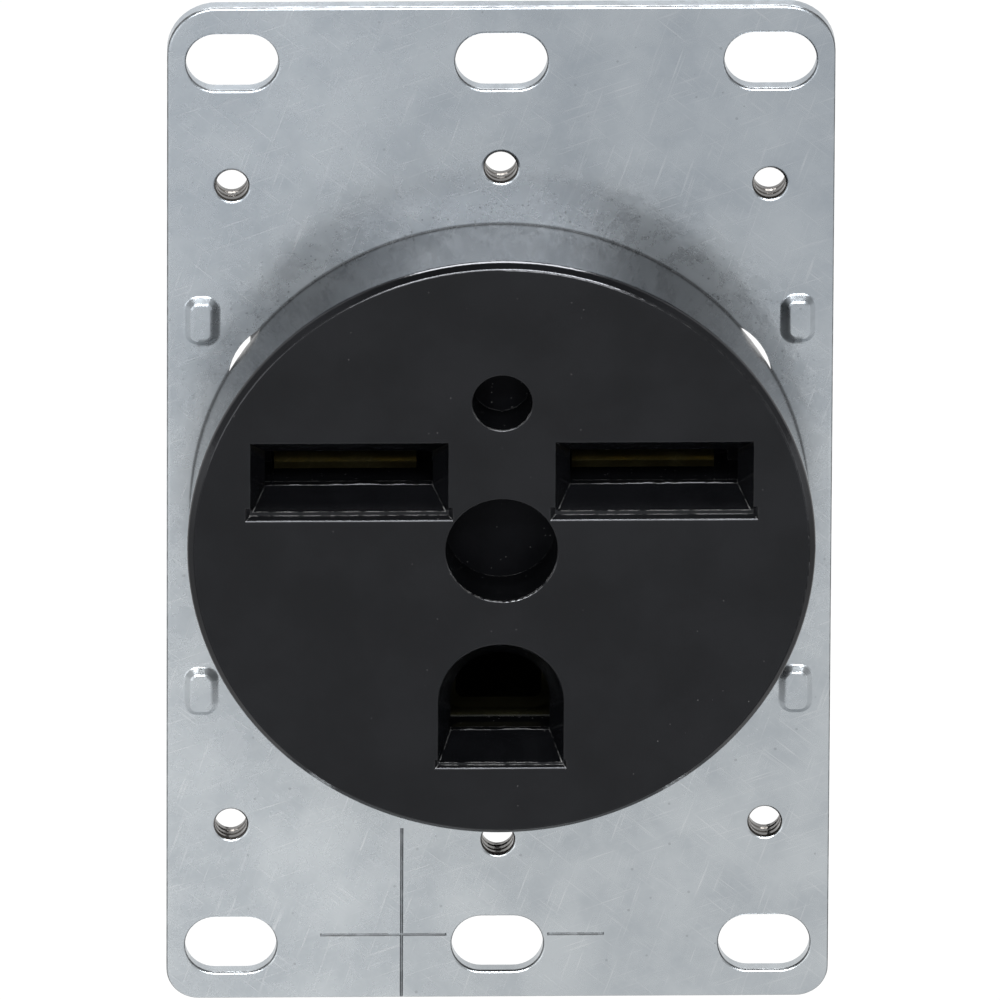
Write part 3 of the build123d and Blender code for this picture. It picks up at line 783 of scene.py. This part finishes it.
@dataclass
class Wardrobe:
    """The finish of each material slot."""

    effects: Effects
    materials: dict[Slot, bpy.types.Material] = field(default_factory=dict)

    def build(self) -> None:
        """Build one material per slot."""
        zinc = ((0.5, 0.51, 0.53), (0.4, 0.41, 0.42), (0.75, 0.76, 0.77))
        finishes = {
            Slot.STRAP: ZincStrapFinish(),
            Slot.FACE: MouldedFinish("black_moulded_face"),
            Slot.BASE: MouldedFinish(
                "black_moulded_base", flat_roughness=0.5, drawn_roughness=0.38, deep_radius=0.0
            ),
            Slot.BRASS: MetalFinish(
                "rolled_brass",
                bright=(0.27, 0.235, 0.1),
                dull=(0.16, 0.14, 0.065),
                worn=(0.5, 0.43, 0.22),
                roughness=0.36,
                # Painted shade that blackens the lower part of the contacts
                lower_shade=(0.005, 0.005, 0.003),
            ),
            Slot.SPRING: MetalFinish(
                "spring_steel_strip",
                bright=(0.13, 0.125, 0.115),
                dull=(0.08, 0.075, 0.07),
                worn=(0.4, 0.4, 0.38),
                roughness=0.4,
            ),
            Slot.LUG: MetalFinish(
                "tinned_aluminium",
                bright=(0.74, 0.75, 0.76),
                dull=(0.6, 0.61, 0.62),
                worn=(0.9, 0.9, 0.9),
                roughness=0.28,
            ),
            Slot.PLATE: MetalFinish("plated_pressure_plate", *zinc, roughness=0.33),
            Slot.SCREW: MetalFinish("plated_screw", *zinc, roughness=0.26),
            Slot.RIVET: MetalFinish("plated_rivet", *zinc, roughness=0.3),
            Slot.GROUND_SCREW: CoatedScrewFinish(),
        }
        self.materials = {slot: finish.build(self.effects) for slot, finish in finishes.items()}

    def dress(self, piece: bpy.types.Object, slot: Slot) -> None:
        """Give a piece its finish.

        Args:
            piece: The piece.
            slot: The slot that it takes its finish from.
        """
        piece.data.materials.clear()
        piece.data.materials.append(self.materials[slot])


@dataclass
class SubAssembly:
    """A group of the model's nodes that are dressed together."""

    name: str
    nodes: dict[str, Slot]

    def dress(self, wardrobe: Wardrobe) -> None:
        """Give each node its finish.

        Args:
            wardrobe: The finishes.
        """
        for node, slot in self.nodes.items():
            wardrobe.dress(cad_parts[node], slot)
            log.info("%s: %s wears %s", self.name, node, wardrobe.materials[slot].name)


def sweep(name: str, rings: Sequence[Sequence[Point]]) -> bpy.types.Object:
    """Join rings of points, one after another, to a closed strip.

    Args:
        name: Name of the piece.
        rings: The points of each section, all in the same turn.

    Returns:
        The piece, in the scene.
    """
    mesh = bmesh.new()
    loops = [[mesh.verts.new(point) for point in ring] for ring in rings]
    for first, second in zip(loops, loops[1:]):
        for a, b, c, d in zip(first, first[1:] + first[:1], second[1:] + second[:1], second):
            mesh.faces.new((a, b, c, d))
    mesh.faces.new(loops[0])
    mesh.faces.new(loops[-1])
    bmesh.ops.recalc_face_normals(mesh, faces=mesh.faces)
    data = bpy.data.meshes.new(name)
    mesh.to_mesh(data)
    mesh.free()
    piece = bpy.data.objects.new(name, data)
    bpy.context.scene.collection.objects.link(piece)
    return piece


@dataclass
class Ridge:
    """One line of ragged flash along the inner lip of an opening."""

    name: str
    left: float
    right: float
    level: float
    depth: float
    height: float = 0.16 * MM
    width: float = 0.22 * MM


@dataclass
class MouldingFlash:
    """Thin ragged ridges that the mould leaves on the lower inner lips of the openings."""

    seed: int = 7
    step: float = 0.12 * MM
    section_steps: int = 8
    rooted: float = 0.03 * MM
    skirt: float = 0.01 * MM
    first_level: float = 0.5
    lowest_level: float = 0.08
    drift: float = 0.28
    narrowest: float = 0.35
    fade_rate: float = 6.0
    ridges: tuple[Ridge, ...] = (
        Ridge("flash_slot_left", -20.1 * MM, -6.0 * MM, 5.1 * MM, -8.08 * MM),
        Ridge("flash_slot_right", 6.0 * MM, 20.1 * MM, 5.1 * MM, -8.08 * MM),
        Ridge("flash_ground", -4.1 * MM, 4.1 * MM, -18.385 * MM, -7.48 * MM),
    )

    def _outline(self, ridge: Ridge, dice: random.Random) -> list[Point]:
        """Walk along a ridge and give its place, height and half width at each step.

        Args:
            ridge: The ridge.
            dice: Seeded source of chance.

        Returns:
            A list of place along the width, height and half width.
        """
        count = max(2, round((ridge.right - ridge.left) / self.step))
        walk, level = [], self.first_level
        for index in range(count + 1):
            level = min(1.0, max(self.lowest_level, level + dice.uniform(-self.drift, self.drift)))
            fade = min(1.0, self.fade_rate * min(index, count - index) / count)
            x = ridge.left + (ridge.right - ridge.left) * index / count
            spread = self.narrowest + (1.0 - self.narrowest) * level
            walk.append((x, ridge.height * level * fade, ridge.width * spread * fade / 2))
        return walk

    def _section(self, ridge: Ridge, x: float, height: float, half: float) -> list[Point]:
        """Give the ridge's rounded section at one step.

        Args:
            ridge: The ridge.
            x: Place along the width.
            height: Height of the crest.
            half: Half of the width.

        Returns:
            The points of the section.
        """
        points = []
        for step in range(self.section_steps + 1):
            angle = math.pi * step / self.section_steps
            y = ridge.depth + math.cos(angle) * (half + self.skirt)
            z = ridge.level - self.rooted + math.sin(angle) * (height + self.rooted)
            points.append((x, y, z))
        return points

    def build(self, wardrobe: Wardrobe) -> None:
        """Build each ridge as a closed strip with a rounded crest.

        Args:
            wardrobe: The finishes.
        """
        dice = random.Random(self.seed)
        for ridge in self.ridges:
            sections = [self._section(ridge, *step) for step in self._outline(ridge, dice)]
            piece = sweep(ridge.name, sections)
            piece.data.shade_smooth()
            wardrobe.dress(piece, Slot.FACE)
            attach(piece, "root")
            log.info("moulding flash: %s with %d points", ridge.name, len(piece.data.vertices))


@dataclass
class TappedThreads:
    """Screw threads in the strap's cover-plate holes, one helical ridge in each."""

    bore: float = 1.375 * MM
    crest: float = 0.06 * MM
    rooted: float = 0.03 * MM
    pitch: float = 0.79 * MM
    reach_share: float = 0.44
    flat_share: float = 0.07
    ripple: float = 0.06
    ripples: float = 5.0
    fade_rate: float = 10.0
    front: float = -0.9 * MM
    rear: float = 1.0 * MM
    steps: int = 28

    def _section(self, x: float, z: float, index: int, count: int) -> list[Point]:
        """Give the ridge's section at one step.

        Args:
            x: The hole's place across the width, in millimetres.
            z: The hole's place along the height, in millimetres.
            index: Number of the step.
            count: Number of the last step.

        Returns:
            The points of the section.
        """
        angle = 2 * math.pi * index / self.steps
        depth = self.front + self.pitch * index / self.steps
        fade = min(1.0, self.fade_rate * min(index, count - index) / count)
        top = self.bore - self.crest * fade * (1.0 + self.ripple * math.sin(self.ripples * angle))
        foot = self.bore + self.rooted
        reach, flat = self.pitch * self.reach_share, self.flat_share * self.pitch
        return [
            (x * MM + radius * math.cos(angle), depth + away, z * MM + radius * math.sin(angle))
            for radius, away in ((foot, -reach), (top, -flat), (top, flat), (foot, reach))
        ]

    def build(self, wardrobe: Wardrobe) -> None:
        """Build the thread of each hole as one closed strip.

        Args:
            wardrobe: The finishes.
        """
        count = round(self.steps * (self.rear - self.front) / self.pitch)
        for number, (x, z) in enumerate(TAPPED_HOLES, start=1):
            name = f"tapped_thread_{number}"
            piece = sweep(name, [self._section(x, z, index, count) for index in range(count + 1)])
            wardrobe.dress(piece, Slot.STRAP)
            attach(piece, "root")
            log.info("tapped threads: %s with %d points", name, len(piece.data.vertices))


@dataclass
class Softbox:
    """One rectangular studio lamp, aimed at the receptacle."""

    name: str
    azimuth: float
    elevation: float
    distance: float
    width: float
    height: float
    radiance: float

    def build(self) -> None:
        """Hang the lamp."""
        lamp = bpy.data.lights.new(self.name, "AREA")
        lamp.shape = "RECTANGLE"
        lamp.size, lamp.size_y = self.width, self.height
        lamp.energy = self.radiance * math.pi * self.width * self.height
        away = direction(self.azimuth, self.elevation)
        holder = bpy.data.objects.new(self.name, lamp)
        holder.location = away * self.distance
        holder.rotation_mode = "QUATERNION"
        holder.rotation_quaternion = away.to_track_quat("Z", "Y")
        bpy.context.scene.collection.objects.link(holder)


def direction(azimuth: float, elevation: float) -> Vector:
    """Give the direction from the receptacle to a place in the studio.

    Args:
        azimuth: Degrees to the right of straight in front, seen from above.
        elevation: Degrees above the horizon.

    Returns:
        A unit vector.
    """
    a, e = math.radians(azimuth), math.radians(elevation)
    return Vector((math.sin(a) * math.cos(e), -math.cos(a) * math.cos(e), math.sin(e)))


@dataclass
class Studio:
    """Plain pale floor, white backdrop, soft lamps and the camera."""

    floor_drop: float = 0.16
    floor_size: float = 24.0
    floor_colour: Colour = (0.82, 0.82, 0.82)
    floor_glow: float = 0.95
    white: Colour = (1.0, 1.0, 1.0)
    front_grey: float = 0.42
    overhead_grey: float = 0.12
    diffuse_share: float = 0.6
    camera_azimuth: float = -1.3
    camera_elevation: float = 24.6
    camera_roll: float = 0.27
    camera_distance: float = 3.341
    camera_lens: float = 1400.0
    camera_sensor: float = 36.0
    camera_reach: tuple[float, float] = (0.1, 20.0)
    aim: Point = (0.05 * MM, -1.3 * MM, 0.48 * MM)
    softboxes: tuple[Softbox, ...] = (
        Softbox("key_softbox", -4.0, 26.0, 0.95, 0.74, 0.3, 8.0),
        Softbox("strip_softbox", -2.0, 42.0, 0.95, 0.8, 0.09, 34.0),
        Softbox("left_softbox", -44.0, 2.0, 1.1, 0.5, 0.5, 1.6),
        Softbox("right_softbox", 58.0, 2.0, 1.2, 0.3, 0.5, 0.8),
        Softbox("rim_softbox", 180.0, 72.0, 1.0, 0.8, 0.5, 20.0),
    )

    def build(self) -> None:
        """Set the stage, the lamps and the camera."""
        self._build_floor()
        self._build_world()
        for softbox in self.softboxes:
            softbox.build()
        self._build_camera()

    def _build_floor(self) -> None:
        """Lay a wide pale floor that keeps part of its shadow."""
        material = bpy.data.materials.new("pale_floor")
        material.use_nodes = True
        material.node_tree.nodes.clear()
        sheet = NodeSheet(material.node_tree)
        diffuse = sheet.add("BsdfDiffuse", {"Color": self.floor_colour})
        white = sheet.add("Emission", {"Color": self.white, "Strength": 1.0})
        path = sheet.add("LightPath").outputs
        reflected = sheet.maths("MAXIMUM", path["Is Glossy Ray"], path["Is Transmission Ray"])
        share = sheet.maths("MAXIMUM", reflected, sheet.product(path["Is Camera Ray"], self.floor_glow))
        lit = sheet.add("MixShader", {0: share, 1: diffuse.outputs[0], 2: white.outputs[0]})
        below = sheet.add("NewGeometry").outputs["Backfacing"]
        clear = sheet.add("BsdfTransparent")
        both = sheet.add("MixShader", {0: below, 1: lit.outputs[0], 2: clear.outputs[0]})
        sheet.add("OutputMaterial", {"Surface": both.outputs[0]})
        half = self.floor_size / 2
        data = bpy.data.meshes.new("floor")
        corners = [(-half, -half, 0.0), (half, -half, 0.0), (half, half, 0.0), (-half, half, 0.0)]
        data.from_pydata(corners, [], [(0, 1, 2, 3)])
        data.materials.append(material)
        floor = bpy.data.objects.new("floor", data)
        floor.location.z = cad_low.z - self.floor_drop
        bpy.context.scene.collection.objects.link(floor)

    def _build_world(self) -> None:
        """Make the surroundings white behind the receptacle and grey in front of it."""
        world = bpy.data.worlds.new("studio")
        bpy.context.scene.world = world
        world.use_nodes = True
        world.node_tree.nodes.clear()
        sheet = NodeSheet(world.node_tree)
        towards = sheet.axes(sheet.add("TexCoord").outputs["Generated"])
        front = sheet.ramp(towards["Z"], 0.55, 0.9, self.front_grey, self.overhead_grey)
        behind = sheet.ramp(towards["Y"], -0.1, 0.35, front, 1.0)
        path = sheet.add("LightPath").outputs
        reflected = sheet.maths("MAXIMUM", path["Is Glossy Ray"], path["Is Transmission Ray"])
        soft = sheet.product(behind, sheet.ramp(reflected, 0.0, 1.0, self.diffuse_share, 1.0))
        strength = sheet.maths("MAXIMUM", soft, path["Is Camera Ray"])
        sky = sheet.add("Background", {"Color": self.white, "Strength": strength})
        sheet.add("OutputWorld", {"Surface": sky.outputs[0]})

    def _build_camera(self) -> None:
        """Stand the camera at the photograph's angle, far off with a long lens."""
        camera = bpy.data.objects.new("camera", bpy.data.cameras.new("camera"))
        camera.data.lens = self.camera_lens
        camera.data.sensor_width = self.camera_sensor
        camera.data.clip_start, camera.data.clip_end = self.camera_reach
        back = direction(self.camera_azimuth, self.camera_elevation)
        camera.rotation_mode = "QUATERNION"
        roll = Quaternion((0.0, 0.0, 1.0), math.radians(self.camera_roll))
        camera.rotation_quaternion = back.to_track_quat("Z", "Y") @ roll
        camera.location = Vector(self.aim) + back * self.camera_distance
        bpy.context.scene.collection.objects.link(camera)
        bpy.context.scene.camera = camera


SUB_ASSEMBLIES = (
    SubAssembly(
        "strap",
        {
            "mounting_strap": Slot.STRAP,
            "ground_rivet_left": Slot.RIVET,
            "ground_rivet_right": Slot.RIVET,
        },
    ),
    SubAssembly("face", {"face_housing": Slot.FACE}),
    SubAssembly("base", {"base_housing": Slot.BASE}),
    SubAssembly(
        "contacts",
        {
            "line_contact_left": Slot.BRASS,
            "line_contact_right": Slot.BRASS,
            "ground_contact": Slot.BRASS,
            "line_spring_left": Slot.SPRING,
            "line_spring_right": Slot.SPRING,
            "ground_spring": Slot.SPRING,
        },
    ),
    SubAssembly(
        "terminals",
        {
            **{f"terminal_lug_{name}": Slot.LUG for name in ("left", "right", "ground")},
            **{f"pressure_plate_{name}": Slot.PLATE for name in ("left", "right", "ground")},
            "terminal_screw_left": Slot.SCREW,
            "terminal_screw_right": Slot.SCREW,
            "terminal_screw_ground": Slot.GROUND_SCREW,
        },
    ),
    SubAssembly(
        "assembly screws",
        {
            f"assembly_screw_{row}_{side}": Slot.SCREW
            for row in ("upper", "lower")
            for side in ("left", "right")
        },
    ),
)


def main() -> None:
    """Build the finishes, dress the nodes, add the flash and the threads and set the studio."""
    logging.basicConfig(level=logging.INFO, format="%(message)s")
    effects = Effects()
    effects.build()
    wardrobe = Wardrobe(effects)
    wardrobe.build()
    for sub_assembly in SUB_ASSEMBLIES:
        sub_assembly.dress(wardrobe)
    MouldingFlash().build(wardrobe)
    TappedThreads().build(wardrobe)
    Studio().build()
    bpy.context.scene.view_settings.view_transform = "Standard"


if __name__ == "__main__":
    main()
